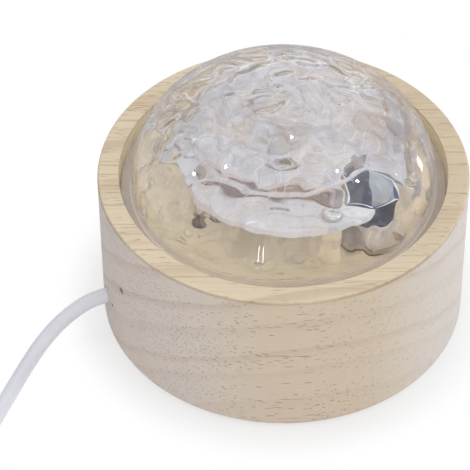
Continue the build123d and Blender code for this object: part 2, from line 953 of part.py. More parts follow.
def coil_gap(path):
    """The least gap between parts of the coil that are more than five diameters apart along it."""
    spacing = 1.5
    count = int(path.length / spacing)
    places = [path @ (step / count) for step in range(count + 1)]
    apart = int(10 * cord_radius / spacing)
    least = min(
        (places[i] - places[j]).length
        for i in range(len(places))
        for j in range(i + apart, len(places))
    )
    return least - 2 * cord_radius


def wires(points, note):
    """Two thin wires side by side along one route."""
    pair = []
    for side in (-1, 1):
        shift = side * wire_pitch / 2
        route = [(x + dx * shift, y + dy * shift, z + dz * shift) for x, y, z, dx, dy, dz in points]
        pair.append(tube(route, wire_radius, note))
    return group(pair)


def supply_wires():
    """The cord's two cores, from its inner end to the driver board's terminal block."""
    start = polar(cord_inner_reach, cord_angle, cord_level)
    return wires(
        [
            (start[0] + 0.3, start[1], start[2], 0, 1, 0),
            (-14.0, -4.0, cord_level, 0, 1, 0),
            (-6.0, board_centre[1] - 0.6, terminal_level, 0, 1, 0),
            (terminal_face - 0.1, terminal_row, terminal_level, 0, 1, 0),
        ],
        "supply wire",
    )


def motor_leads():
    """Two wires from the motor's terminals to the driver board's terminal block."""
    low = floor_level - motor_length - motor_tag_length
    turn = math.radians(motor_angle)
    apart = 2 * motor_tag_offset / wire_pitch
    way = (apart * math.cos(turn), apart * math.sin(turn), 0)
    return wires(
        [
            (motor_place[0], motor_place[1], low - wire_radius, *way),
            (-10.0, 9.5, low - 4.0, -0.5, 2.0, 0),
            (-4.0, 8.6, terminal_level, 0, 1.4, 0),
            (terminal_face - 0.1, terminal_row + terminal_pitch, terminal_level, 0, 1, 0),
        ],
        "motor lead",
    )


def lamp_leads():
    """Two wires from the driver board up through the web, over the deck and down to the lamp board."""
    level = terminal_level
    x, y = wire_hole[0], wire_hole[1]
    return wires(
        [
            (terminal_face - 0.4, terminal_row - terminal_pitch, level, 0, 1, 0),
            (-7.0, -4.6, level + 1.5, 0.2, 1, 0),
            (-15.0, -10.2, level + 4.5, 0.4, 0.9, 0),
            (x, y, level + 10.0, 0.5, -0.9, 0),
            (x, y, deck_level - 4.0, 0.5, -0.9, 0),
            (x + 0.6, y - 0.5, lead_level + 0.4, 0.5, -0.9, 0),
            (-13.0, -18.6, lead_level, 0.3, 1, 0),
            (-2.0, -20.4, lead_level, 0, 1, 0),
            (6.6, -19.8, lead_level, 0, 1, 0),
            (lead_slot_out[0], lead_slot_out[1], lead_level, 0.2, 1, 0),
            (lead_slot_out[0] + 0.6, lead_slot_out[1] + 0.4, lead_level - 5.0, 0.4, 1, 0),
            (15.4, -18.0, reflector_level + 0.4, 0.5, 1, 0),
        ],
        "lamp lead",
    )


def switch_place(part):
    """Puts a piece of the switch, drawn about its own middle, in its place on the cord."""
    return Pos(switch_start[0], switch_start[1] + switch_length / 2, 0) * part


def switch_half(low, high):
    """A round-ended block of the switch's outline between two levels."""
    outline = RectangleRounded(switch_width, switch_length, switch_width * 0.38)
    return Pos(0, 0, low) * extrude(outline, high - low)


def switch_room(low, high):
    """The room inside the switch between two levels."""
    shrink = 2 * switch_wall
    length = switch_length - shrink - 4
    outline = RectangleRounded(switch_width - shrink, length, switch_width * 0.3)
    return Pos(0, 0, low) * extrude(outline, high - low)


def switch_base():
    """The lower shell of the switch."""
    shell = switch_half(0, switch_split)
    shell = fillet(shell.edges().group_by(Axis.Z)[0], 1.2)
    return switch_place(shell - switch_room(switch_wall, switch_split + 1))


def switch_cover():
    """The upper shell of the switch, with the button's hole."""
    shell = switch_half(switch_split, switch_height)
    shell = fillet(shell.edges().group_by(Axis.Z)[-1], 1.8)
    shell -= switch_room(switch_split - 1, switch_height - switch_wall)
    shell -= drum(button_radius + button_clearance, switch_height - 3, switch_height + 1)
    return switch_place(shell)


def switch_core():
    """The latching switch inside the shells: a square body, its plunger and its side terminals."""
    top = switch_wall + core_height
    core = block(core_side, core_side, switch_wall, top)
    core += drum(button_radius * 0.45, top, top + core_plunger)
    for side in (-1, 1):
        for step in (-1, 0, 1):
            way = (side * (core_side / 2 + 0.6), step * 2.2)
            core += block(1.2, 0.8, switch_wall + 0.8, switch_wall + 1.3, way)
    return switch_place(core)


def switch_button():
    """The round push button, proud of the cover by its travel and a little more."""
    low = switch_wall + core_height + core_plunger + button_travel + 0.1
    high = switch_height + button_proud
    button = drum(button_radius, low, high)
    button = fillet(button.edges().group_by(Axis.Z)[-1], 0.7)
    button -= Pos(0, 0, high + 7.6) * Sphere(8.0)
    return switch_place(button)


def plug_place(part):
    """Puts a piece of the plug, drawn along +X from where the cord enters, at the cord's end."""
    return Pos(plug_start[0], plug_start[1], plug_body_height / 2) * Rot(0, 0, plug_heading) * part


def plug_body():
    """The moulded grip of the plug and its tapered strain relief."""
    half = plug_relief_length + plug_body_length / 2
    grip = Pos(half, 0, 0) * Box(plug_body_length, plug_body_width, plug_body_height)
    grip = fillet(grip.edges().filter_by(Axis.X), 1.6)
    grip = fillet(grip.edges().group_by(Axis.X)[0], 1.2)
    relief = Rot(0, 90, 0) * Cone(
        cord_radius + 0.5,
        plug_relief_radius,
        plug_relief_length,
        align=(Align.CENTER, Align.CENTER, Align.MIN),
    )
    body = grip + relief
    for step in range(3):
        middle = 1.8 + 2.1 * step
        ring = Pos(middle, 0, 0) * Rot(0, 90, 0) * (
            Cylinder(4.0, 0.8) - Cylinder(cord_radius + 0.35, 0.8)
        )
        body -= ring
    for side in (-1, 1):
        for step in range(4):
            rib = Pos(half - 4.5 + 3.0 * step, side * plug_body_width / 2, 0)
            body -= rib * Box(1.2, 0.8, plug_body_height * 0.5)
    return plug_place(body)


def plug_shell():
    """The folded steel shell of the plug, with its four latch windows."""
    start = plug_relief_length + plug_body_length
    middle = start + plug_shell_length / 2
    outer = Pos(middle, 0, 0) * Box(plug_shell_length, plug_shell_width, plug_shell_height)
    inner = Pos(middle, 0, 0) * Box(
        plug_shell_length + 2,
        plug_shell_width - 2 * plug_shell_wall,
        plug_shell_height - 2 * plug_shell_wall,
    )
    shell = outer - inner
    for side in (-1, 1):
        window = Pos(middle + 1.5, side * 2.8, plug_shell_height / 2) * Box(2.4, 2.2, 3 * plug_shell_wall)
        shell -= window
    return plug_place(shell)


def plug_tongue():
    """The insulator inside the shell, with the four contacts on its open face."""
    start = plug_relief_length + plug_body_length
    width = plug_shell_width - 2 * plug_shell_wall - 2 * fit_gap
    top = plug_shell_height / 2 - plug_shell_wall - fit_gap
    length = plug_shell_length - 1.0
    middle = start + length / 2
    tongue = Pos(middle, 0, top - plug_tongue_height / 2) * Box(length, width, plug_tongue_height)
    for step in range(plug_contacts):
        y = (step - (plug_contacts - 1) / 2) * 2.2
        strip = Pos(middle + 0.5, y, top - plug_tongue_height) * Box(length - 3, 1.2, 0.4)
        tongue += strip
    return plug_place(tongue)


pieces = {
    "wood_base": wooden_base,
    "bottom_cover": bottom_cover,
    "cover_screws": cover_screws,
    "rubber_feet": feet,
    "driver_board": driver_board,
    "board_parts": board_parts,
    "board_screws": board_screws,
    "cord_clamp": cord_clamp,
    "clamp_screws": clamp_screws,
    "motor_can": motor_can,
    "motor_cap": motor_cap,
    "motor_bracket": motor_bracket,
    "motor_screws": motor_screws,
    "bracket_screws": bracket_screws,
    "lamp_deck": deck,
    "deck_posts": deck_posts,
    "deck_screws": deck_screws,
    "shaft_bush": shaft_bush,
    "rotor_shaft": rotor_shaft,
    "rotor_gear": rotor_gear,
    "rotor_hub": rotor_hub,
    "ripple_disc": ripple_disc,
    "rotor_cap": rotor_cap,
    "motor_shaft": motor_shaft,
    "pinion": pinion,
    "heat_sink": heat_sink,
    "lamp_board": lamp_board,
    "emitter": emitter,
    "reflector": reflector,
    "dome": dome,
    "dome_gasket": dome_gasket,
    "supply_wires": supply_wires,
    "motor_leads": motor_leads,
    "lamp_leads": lamp_leads,
    "cord_entry": cord_entry,
    "cord_lead": cord_lead,
    "switch_base": switch_base,
    "switch_cover": switch_cover,
    "switch_core": switch_core,
    "switch_button": switch_button,
    "cord_link": cord_link,
    "cord_coil": cord_coil,
    "cord_tail": cord_tail,
    "plug_body": plug_body,
    "plug_shell": plug_shell,
    "plug_tongue": plug_tongue,
}

os.makedirs("parts", exist_ok=True)
for node, make in pieces.items():
    export_step(make(), f"parts/{node}.step")
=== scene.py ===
"""Water ripple lamp: a turned wooden base under a clear rippled dome, with its light and its cord.

Metres, +Z up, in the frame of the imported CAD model. The lamp's usual view is from -Y and above,
with the cord leaving towards -X.
"""

import math

import bpy
import numpy as np
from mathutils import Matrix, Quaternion, Vector


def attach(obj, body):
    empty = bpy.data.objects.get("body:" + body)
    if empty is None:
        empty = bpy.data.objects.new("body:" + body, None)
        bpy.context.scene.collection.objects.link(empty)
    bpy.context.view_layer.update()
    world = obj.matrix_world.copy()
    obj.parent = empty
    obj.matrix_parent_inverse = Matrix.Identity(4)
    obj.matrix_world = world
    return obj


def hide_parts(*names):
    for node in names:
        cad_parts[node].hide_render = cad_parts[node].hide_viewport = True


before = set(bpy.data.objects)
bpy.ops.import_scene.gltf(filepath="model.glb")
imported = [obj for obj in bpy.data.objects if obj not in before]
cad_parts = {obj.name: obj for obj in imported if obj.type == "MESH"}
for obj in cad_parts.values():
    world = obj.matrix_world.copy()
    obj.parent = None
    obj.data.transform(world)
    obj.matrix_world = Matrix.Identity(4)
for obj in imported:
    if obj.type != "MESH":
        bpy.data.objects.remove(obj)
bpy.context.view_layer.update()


# Studio: a white table in a white room, with broad soft lamps from the right, above and in front.
# Small strips of light stand low in front and to the right, for the bright lines on the dome.
# The camera looks down at the table from the front at 44 degrees with a long lens.
camera_place = Vector((0.0, -0.51692, 0.53098))
camera_aim = Vector((-0.01298, -0.00725, 0.030))
camera_roll = math.radians(-0.618)
camera_lens = 201.585

camera = bpy.data.objects.new("camera", bpy.data.cameras.new("camera"))
camera.data.lens = camera_lens
camera.data.sensor_width = 36.0
camera.data.clip_start = 0.01
camera.location = camera_place
camera.rotation_mode = "QUATERNION"
facing = (camera_aim - camera_place).to_track_quat("-Z", "Y")
camera.rotation_quaternion = facing @ Quaternion((0, 0, 1), camera_roll)
bpy.context.scene.collection.objects.link(camera)
bpy.context.scene.camera = camera
bpy.context.scene.view_settings.view_transform = "Standard"


def shine(name, place, target, size, strength, colour=(1.0, 1.0, 1.0)):
    """A flat lamp of size (width, height) aimed at a target; its power is radiance x pi x area."""
    lamp = bpy.data.lights.new(name, "AREA")
    lamp.shape = "RECTANGLE"
    lamp.size, lamp.size_y = size
    lamp.energy = strength * math.pi * size[0] * size[1]
    lamp.color = colour
    made = bpy.data.objects.new(name, lamp)
    made.location = place
    made.rotation_mode = "QUATERNION"
    made.rotation_quaternion = (Vector(target) - Vector(place)).to_track_quat("-Z", "Y")
    made.visible_camera = False
    bpy.context.scene.collection.objects.link(made)


shine("side lamp", (1.1, -0.35, 0.75), (0, 0, 0.03), (0.9, 0.9), 1.16, (0.94, 0.99, 1.11))
shine("top lamp", (-0.1, 0.25, 1.3), (0, 0, 0.03), (0.8, 0.8), 0.8)
shine("front lamp", (-0.15, -1.2, 0.55), (0, 0, 0.03), (0.9, 0.7), 0.68, (1.04, 0.99, 0.88))
glint_places = (
    (0.482, -0.099, 0.834),
    (0.644, -0.109, 0.708),
    (-0.507, -0.051, 0.822),
    (0.068, 0.171, 0.952),
    (-0.735, 0.022, 0.615),
)
for glint, spot in enumerate(glint_places):
    shine(f"glint lamp {glint}", spot, (0, 0, 0.065), (0.03, 0.03), 50.0)
shine("front strip", (-0.0530, -0.2030, 0.048), (-0.006, -0.039, 0.054), (0.0028, 0.066), 16.0)
shine("front strip twin", (-0.0432, -0.2060, 0.048), (-0.005, -0.039, 0.054), (0.0028, 0.066), 16.0)
shine("right strip", (0.120, 0.045, 0.042), (0.036, -0.009, 0.059), (0.010, 0.020), 14.0)


class Term:
    """A socket's value in an expression: every operator adds the Math node that it stands for."""

    def __init__(self, finish, socket):
        self.finish = finish
        self.socket = socket

    def math(self, operation, *others):
        """A Math node on this value and others, in that order."""
        return self.finish.math(operation, self, *others)

    def __add__(self, other):
        return self.math("ADD", other)

    def __radd__(self, other):
        return self.finish.math("ADD", other, self)

    def __sub__(self, other):
        return self.math("SUBTRACT", other)

    def __rsub__(self, other):
        return self.finish.math("SUBTRACT", other, self)

    def __mul__(self, other):
        return self.math("MULTIPLY", other)

    def __rmul__(self, other):
        return self.finish.math("MULTIPLY", other, self)

    def __truediv__(self, other):
        return self.math("DIVIDE", other)

    def __gt__(self, other):
        return self.math("GREATER_THAN", other)

    def __lt__(self, other):
        return self.math("LESS_THAN", other)


class Tree:
    """A node tree, for a surface or for the room."""

    def __init__(self, tree):
        self.tree = tree

    def node(self, kind, settings=None, values=None, output=0):
        """Adds a node: its settings first, then its sockets; gives the value of one output."""
        made = self.tree.nodes.new(kind)
        for name, value in (settings or {}).items():
            setattr(made, name, value)
        for key, value in (values or {}).items():
            self.join(made.inputs[key], value)
        return Term(self, made.outputs[output])

    def join(self, socket, value):
        """Links an expression to a socket, or sets the socket's own value."""
        if isinstance(value, Term):
            self.tree.links.new(value.socket, socket)
        else:
            socket.default_value = value

    def math(self, operation, *values):
        """A Math node on some values."""
        return self.node("ShaderNodeMath", {"operation": operation}, dict(enumerate(values)))

    def ray(self, kind):
        """1 for one kind of ray, else 0."""
        return self.node("ShaderNodeLightPath", output=f"Is {kind} Ray")

    def seen_straight(self):
        """1 for rays from the camera, off shiny surfaces or through clear ones."""
        through = self.ray("Glossy").math("MAXIMUM", self.ray("Transmission"))
        return self.ray("Camera").math("MAXIMUM", through)


class Finish(Tree):
    """A surface finish built node by node round one Principled shader."""

    def __init__(self, name, **constants):
        self.material = bpy.data.materials.new(name)
        self.material.use_nodes = True
        super().__init__(self.material.node_tree)
        self.shader = self.tree.nodes["Principled BSDF"]
        self.output = self.tree.nodes["Material Output"]
        for socket, value in constants.items():
            self.shader.inputs[socket.replace("_", " ")].default_value = value

    def feed(self, **patterns):
        """Puts patterns on the shader's sockets."""
        for socket, value in patterns.items():
            self.join(self.shader.inputs[socket.replace("_", " ")], value)

    def place(self, scale=(1, 1, 1), turn=(0, 0, 0), shift=(0, 0, 0)):
        """The point on the object, moved, turned and stretched."""
        spot = self.node("ShaderNodeTexCoord", output="Object")
        return self.node(
            "ShaderNodeMapping",
            {},
            {"Vector": spot, "Location": shift, "Rotation": turn, "Scale": scale},
        )

    def noise(self, spot, scale, detail=2.0, rough=0.5, twist=0.0):
        """Soft noise from 0 to 1, scaled in features per metre; a twist makes it swirl."""
        shape = {"Scale": scale, "Detail": detail, "Roughness": rough, "Distortion": twist}
        return self.node("ShaderNodeTexNoise", {}, {"Vector": spot, **shape})

    def cells(self, spot, scale, output="Distance"):
        """Scattered cells: the distance to the nearest cell's middle, or its own random colour."""
        return self.node("ShaderNodeTexVoronoi", {}, {"Vector": spot, "Scale": scale}, output)

    def part(self, spot, axis):
        """One coordinate of a point: 0, 1 or 2."""
        return self.node("ShaderNodeSeparateXYZ", {}, {"Vector": spot}, axis)

    def reach(self, spot, middle=(0, 0, 0)):
        """The distance from a point to a middle, in metres."""
        return self.node(
            "ShaderNodeVectorMath", {"operation": "DISTANCE"}, {0: spot, 1: middle}, "Value"
        )

    def ease(self, value, low, high):
        """0 below low, 1 above high and a smooth step between them."""
        return self.node(
            "ShaderNodeMapRange",
            {"interpolation_type": "SMOOTHSTEP"},
            {"Value": value, "From Min": low, "From Max": high},
        )

    def blend(self, share, first, second):
        """Two colours mixed by a share of the second."""
        return self.node(
            "ShaderNodeMix",
            {"data_type": "RGBA", "clamp_factor": True},
            {0: share, 6: first, 7: second},
            2,
        )

    def dent(self, height, depth, under=None):
        """A bump that follows a height, at a depth in metres."""
        values = {"Height": height, "Distance": depth, "Strength": 1.0}
        if under is not None:
            values["Normal"] = under
        return self.node("ShaderNodeBump", {}, values)

    def lay_on(self, *nodes):
        """Gives this finish to CAD nodes."""
        for name in nodes:
            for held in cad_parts[name].material_slots:
                held.material = self.material


def tint(red, green, blue):
    """A display colour as linear light: c / 12.92 below 0.04, ((c + 0.055) / 1.055) ^ 2.4 above."""
    shares = [value / 255 for value in (red, green, blue)]
    light = [c / 12.92 if c < 0.04045 else ((c + 0.055) / 1.055) ** 2.4 for c in shares]
    return (*light, 1.0)


# The table's white shows plainly from a little way off, and its own shading near the lamp.
shade_from, shade_to = 0.0505, 0.064
near_white = 0.62
room_strength = 0.56

table = bpy.data.meshes.new("table")
table.from_pydata([(-4, -4, 0), (4, -4, 0), (4, 4, 0), (-4, 4, 0)], [], [(0, 1, 2, 3)])
table_piece = bpy.data.objects.new("table", table)
bpy.context.scene.collection.objects.link(table_piece)
table_top = Finish("table top", Roughness=0.6, Specular_IOR_Level=0.2)
table_top.feed(Base_Color=tint(250, 250, 250))
open_table = table_top.ease(table_top.reach(table_top.place()), shade_from, shade_to)
plain_white = table_top.node("ShaderNodeEmission", {}, {"Color": (1, 1, 1, 1), "Strength": 1.0})
mixed = table_top.node(
    "ShaderNodeMixShader",
    {},
    {
        0: table_top.seen_straight() * (near_white + (1 - near_white) * open_table),
        1: Term(table_top, table_top.shader.outputs[0]),
        2: plain_white,
    },
)
table_top.join(table_top.output.inputs["Surface"], mixed)
table.materials.append(table_top.material)

room = bpy.data.worlds.new("room")
bpy.context.scene.world = room
room.use_nodes = True
room_tree = Tree(room.node_tree)
lit = room_tree.node(
    "ShaderNodeBackground", {}, {"Color": (0.97, 0.98, 1.0, 1.0), "Strength": room_strength}
)
white = room_tree.node("ShaderNodeBackground", {}, {"Color": (1, 1, 1, 1), "Strength": 1.0})
shown = room_tree.node(
    "ShaderNodeMixShader", {}, {0: room_tree.seen_straight(), 1: lit, 2: white}
)
room_tree.join(room.node_tree.nodes["World Output"].inputs["Surface"], shown)


# Wooden base: one block of pale, open-pored hardwood, turned on a lathe and bored from both sides.
# It is sanded and left bare. The grain lies level, 15.5 degrees round from the lamp's right, and
# the growth rings dip towards the back. The deck's posts are turned pegs of the same wood.
base_radius = 0.050
rim_level = 0.0476
seat_radius = 0.0443
cord_angle = math.radians(195)
grain_turn = math.radians(15.5)
ring_dip = math.radians(32)
ring_spacing, ring_drift, ring_wobble = 0.0088, 0.009, 0.008
pores_along, pores_across, pore_slide = 250.0, 1450.0, 9.0
pore_core, pore_edge = 0.12, 0.30

side_pale, side_warm = tint(217, 199, 178), tint(218, 201, 173)
left_painted_shade, right_painted_light = tint(217, 206, 197), tint(229, 220, 211)
rim_cream, rim_right_painted_shade, seat_painted_light = tint(243, 226, 196), tint(233, 215, 184), tint(255, 240, 210)
ring_brown, streak_tan, fibre_tan = tint(190, 162, 138), tint(200, 164, 114), tint(205, 180, 146)
pore_brown, edge_brown = tint(138, 112, 84), tint(150, 118, 78)

wood = Finish("wood", Roughness=0.6, Specular_IOR_Level=0.35)


def grain(scale=(1, 1, 1), shift=(0, 0, 0)):
    """The point with its first coordinate along the grain, stretched to a pattern's own size."""
    return wood.place(scale, (0, 0, -grain_turn), shift)


along = grain()
run, across, height = (wood.part(along, axis) for axis in range(3))
radius = wood.reach(wood.place((1, 1, 0)))
to_rim = height - rim_level
drift = wood.noise(grain((10, 38, 38)), 1.0)
depth = across * math.sin(ring_dip) + height * math.cos(ring_dip) + drift * ring_drift
uneven = wood.node("ShaderNodeTexNoise", {"noise_dimensions": "1D"}, {"W": depth, "Scale": 70.0})
year = (depth + uneven * ring_wobble) / ring_spacing
share = year.math("FRACT")
ring_colour = wood.node(
    "ShaderNodeTexWhiteNoise", {"noise_dimensions": "1D"}, {"W": year.math("FLOOR")}
)
late = wood.ease(share, 0.50, 0.90) * (1 - wood.ease(share, 0.90, 1.0))
late = late * (0.35 + 0.9 * ring_colour)
streaks = wood.noise(grain((24, 1200, 1200)), 1.0, 4.0, 0.66)
fibres = wood.noise(grain((160, 3800, 3800)), 1.0, 2.0, 0.6)
clouds = wood.noise(grain((14, 30, 30)), 1.0)
slide = wood.noise(grain((20, 900, 900), (0.7, 0.2, 0.5)), 1.0, 1.0)
pore_spot = wood.node(
    "ShaderNodeVectorMath",
    {"operation": "ADD"},
    {
        0: grain((pores_along, pores_across, pores_across)),
        1: wood.node("ShaderNodeCombineXYZ", {}, {0: slide * pore_slide}),
    },
)
pore_spread = wood.noise(grain((30, 120, 120), (0.3, 0.1, 0.2)), 1.0)
crowd = wood.ease(pore_spread, 0.33, 0.56) * (1 - 0.75 * wood.ease(run, -0.006, 0.022))
kept = wood.part(wood.cells(pore_spot, 1.0, "Color"), 0) < 0.14 + 0.74 * crowd
pores = (1 - wood.ease(wood.cells(pore_spot, 1.0), pore_core, pore_edge)) * kept

top_face = wood.ease(to_rim, -0.0007, -0.0002)
in_seat = 1 - wood.ease(radius, seat_radius, seat_radius + 0.0003)
in_seat = in_seat * (1 - wood.ease(to_rim, -0.0012, 0.0))
calm = 1 - 0.7 * in_seat
shade = wood.blend(wood.ease(clouds, 0.35, 0.65), side_pale, side_warm)
# Painted shade greys the wood towards the left side, and painted light whitens it towards the
# right, where the side lamp shines.
shade = wood.blend(wood.ease(0 - run, 0.010, 0.040), shade, left_painted_shade)
shade = wood.blend(wood.ease(run, 0.004, 0.036), shade, right_painted_light)
shade = wood.blend(top_face, shade, rim_cream)
# Painted shade darkens the rim's top towards the right, against the side lamp's light there.
shade = wood.blend(top_face * wood.ease(run, 0.012, 0.040), shade, rim_right_painted_shade)
# Painted light: the wood inside the seat is paler, to make up for the shade of the deck and the
# dome over it.
shade = wood.blend(in_seat, shade, seat_painted_light)
shade = wood.blend((0.30 - 0.10 * wood.ease(run, 0.0, 0.03)) * late * calm, shade, ring_brown)
streaked = wood.ease(streaks, 0.50, 0.72) * (0.16 + 0.60 * top_face)
shade = wood.blend(streaked * calm, shade, streak_tan)
shade = wood.blend(wood.ease(fibres, 0.5, 0.8) * calm * 0.25, shade, fibre_tan)
shade = wood.blend((0.56 - 0.24 * top_face) * pores * calm, shade, pore_brown)
edge = wood.ease(to_rim, -0.0012, -0.0006) * (1 - wood.ease(to_rim, -0.0004, -0.00005))
edge = edge * wood.ease(radius, base_radius - 0.0012, base_radius - 0.0004)
shade = wood.blend(0.5 * edge * wood.ease(clouds, 0.3, 0.6), shade, edge_brown)


def on_side(degrees, level):
    """A point on the base's turned side."""
    turn = math.radians(degrees)
    return (base_radius * math.cos(turn), base_radius * math.sin(turn), level)


# Three small dark marks near the cord: place, size, colour and strength.
for spot, size, colour, strength in (
    (on_side(210.4, 0.0265), 0.0014, tint(120, 78, 44), 0.85),
    (on_side(201.8, 0.0140), 0.0009, tint(92, 66, 48), 0.85),
    (on_side(198.0, 0.0175), 0.0008, tint(100, 74, 52), 0.75),
):
    near = 1 - wood.ease(wood.reach(wood.place(), spot), size * 0.35, size)
    shade = wood.blend(near * strength, shade, colour)
wood.feed(
    Base_Color=shade,
    Roughness=0.5 + 0.16 * streaks + 0.2 * pores,
    Normal=wood.dent(fibres, 0.00003, wood.dent(1 - pores, 0.00012)),
)
wood.lay_on("wood_base", "deck_posts")


# Rubber feet: four thin black dots of soft rubber, stuck under the wooden rim.
# They keep the base from sliding and are hardly seen from above.
def moulded(name, colour, roughness, spread=0.06, grain=2600, depth=0.00002, **constants):
    """Moulded plastic or rubber: cloudy colour, a fine grain in its gloss and its surface."""
    made = Finish(name, Roughness=roughness, **constants)
    broad = made.noise(made.place(), 90, 3.0)
    fine = made.noise(made.place(), grain, 2.0, 0.6)
    low = tuple(c * (1 - spread) for c in colour[:3]) + (1.0,)
    made.feed(
        Base_Color=made.blend(made.ease(broad, 0.35, 0.65), colour, low),
        Roughness=roughness - 0.05 + 0.12 * fine,
        Normal=made.dent(fine, depth),
    )
    return made


rubber = moulded("rubber", tint(46, 46, 48), 0.78, 0.2)
rubber.lay_on("rubber_feet")


# Bottom cover and cord clamp: pale grey moulded plastic with a spark-eroded grain, held by screws.
# The cover closes the pocket under the base, and the clamp's upper half presses the cord on it.
cover_plastic = moulded("cover moulding", tint(206, 204, 199), 0.55, 0.05, 1700, 0.00005)
cover_plastic.lay_on("bottom_cover", "cord_clamp")


# Screws, shafts, motor bracket and plug shell: zinc-plated and plain steel, lightly handled.
# Fine drawn lines run over them, and the plating is a little cloudy.
def metal(name, colour, roughness, lines=(300, 300, 5000), spread=0.18):
    """Bare or plated metal: drawn lines and clouds in its gloss, with a faint relief."""
    made = Finish(name, Metallic=1.0, Roughness=roughness)
    drawn = made.noise(made.place(lines), 1.0, 2.0, 0.6)
    cloud = made.noise(made.place(), 220, 3.0)
    dull = tuple(c * (1 - spread) for c in colour[:3]) + (1.0,)
    made.feed(
        Base_Color=made.blend(made.ease(cloud, 0.3, 0.75), colour, dull),
        Roughness=roughness - 0.04 + 0.1 * drawn + 0.08 * cloud,
        Normal=made.dent(drawn, 0.000006),
    )
    return made


steel = metal("steel", tint(205, 206, 208), 0.28)
steel.lay_on(
    "cover_screws",
    "board_screws",
    "clamp_screws",
    "motor_screws",
    "bracket_screws",
    "deck_screws",
    "rotor_shaft",
    "motor_shaft",
    "motor_bracket",
    "plug_shell",
)


# Driver board: green fibre board with copper tracks under the lacquer, under the base's web.
# It carries a terminal block, a coil, a capacitor and a chip, which are soldered to it.
board_pitch = 0.0022
board_coat = Finish("board", Roughness=0.35, Coat_Weight=0.3)
grid_spot = board_coat.place()
column = (board_coat.part(grid_spot, 0) / (4 * board_pitch)).math("FLOOR")
row = board_coat.part(grid_spot, 1) / board_pitch
in_row = row.math("FRACT")
block = board_coat.node("ShaderNodeCombineXYZ", {}, {0: column, 1: row.math("FLOOR")})
block_noise = board_coat.node(
    "ShaderNodeTexWhiteNoise", {"noise_dimensions": "2D"}, {"Vector": block}
)
track = (block_noise > 0.45) * (in_row > 0.32) * (in_row < 0.68)
lacquer = board_coat.blend(board_coat.noise(grid_spot, 60), tint(38, 96, 62), tint(30, 82, 54))
board_coat.feed(
    Base_Color=board_coat.blend(track, lacquer, tint(66, 134, 84)),
    Roughness=0.3 + 0.1 * board_coat.noise(grid_spot, 900),
    Normal=board_coat.dent(track, 0.00004),
)
board_coat.lay_on("driver_board")

board_middle = (0.013, 0.002)
terminal_right, capacitor_left = -0.006, 0.004
chip_left, chip_back = -0.005, -0.002
soldered = Finish("soldered parts", Roughness=0.45)
part_spot = soldered.place(shift=(-board_middle[0], -board_middle[1], 0))
part_x, part_y = soldered.part(part_spot, 0), soldered.part(part_spot, 1)
is_terminal = part_x < terminal_right
is_capacitor = part_x > capacitor_left
is_chip = (part_y < chip_back) * (part_x < capacitor_left) * (part_x > chip_left)
part_grain = soldered.noise(soldered.place(), 2400)
body_colour = soldered.blend(is_terminal, tint(70, 62, 56), tint(72, 142, 88))
body_colour = soldered.blend(is_capacitor, body_colour, tint(36, 40, 66))
body_colour = soldered.blend(is_chip, body_colour, tint(30, 30, 32))
soldered.feed(
    Base_Color=soldered.blend(0.3 * part_grain, body_colour, tint(120, 116, 110)),
    Roughness=0.36 + 0.2 * part_grain,
    Normal=soldered.dent(part_grain, 0.00002),
)
soldered.lay_on("board_parts")


# Motor: a small drawn steel can with two flats and a dark moulded rear cap with brass tags.
# It hangs in a bore of the web under its bracket and turns the pinion.
motor_steel = metal("motor steel", tint(178, 180, 184), 0.36, (260, 260, 260), 0.3)
motor_steel.lay_on("motor_can")
dark_plastic = moulded("dark moulding", tint(44, 44, 47), 0.5, 0.15)
dark_plastic.lay_on("motor_cap", "switch_core")


# Gears, hub and cap: white acetal, machined and moulded, with the soft gloss of that plastic.
# The pinion drives the large gear at four to one, and the hub carries the ripple disc.
acetal = moulded("white moulding", tint(208, 207, 212), 0.42, 0.04, 3000, 0.00001)
acetal.lay_on("rotor_hub", "rotor_gear", "rotor_cap", "pinion")


# Deck: a round board with a white lacquer on three posts; wires pass through its long holes.
# Faint copper tracks show as slightly raised lines under the lacquer.
lane_spacing, lane_wander = 0.0034, 1.6
deck_coat = Finish("white board", Roughness=0.4, Coat_Weight=0.2)
deck_spot = deck_coat.place()
deck_cloud = deck_coat.noise(deck_spot, 70)
lane = (deck_coat.part(deck_spot, 1) / lane_spacing + deck_cloud * lane_wander).math("FRACT")
raised = deck_coat.ease(lane, 0.55, 0.60) * (1 - deck_coat.ease(lane, 0.80, 0.85))
raised = raised * (deck_coat.noise(deck_coat.place(shift=(0.4, 0.2, 0)), 45) > 0.5)
deck_coat.feed(
    Base_Color=deck_coat.blend(
        raised,
        deck_coat.blend(deck_cloud, tint(232, 231, 234), tint(224, 222, 227)),
        tint(212, 210, 218),
    ),
    Roughness=0.36 + 0.1 * deck_coat.noise(deck_spot, 800),
    Normal=deck_coat.dent(raised, 0.00005),
)
deck_coat.lay_on("lamp_deck")


# Bush: turned brass with a flange, pressed into the deck; the rotor's steel shaft runs in it.
# Tool marks run round it.
brass = metal("brass", tint(214, 178, 110), 0.3, (600, 600, 9000), 0.15)
brass.lay_on("shaft_bush")


# Heat sink and lamp board: turned aluminium slug with grooves, and the round board on it.
# The emitter is soldered on the board, and the sink takes its heat into the base.
aluminium = metal("aluminium", tint(216, 203, 190), 0.52, (500, 500, 7000), 0.12)
aluminium.lay_on("heat_sink", "lamp_board")


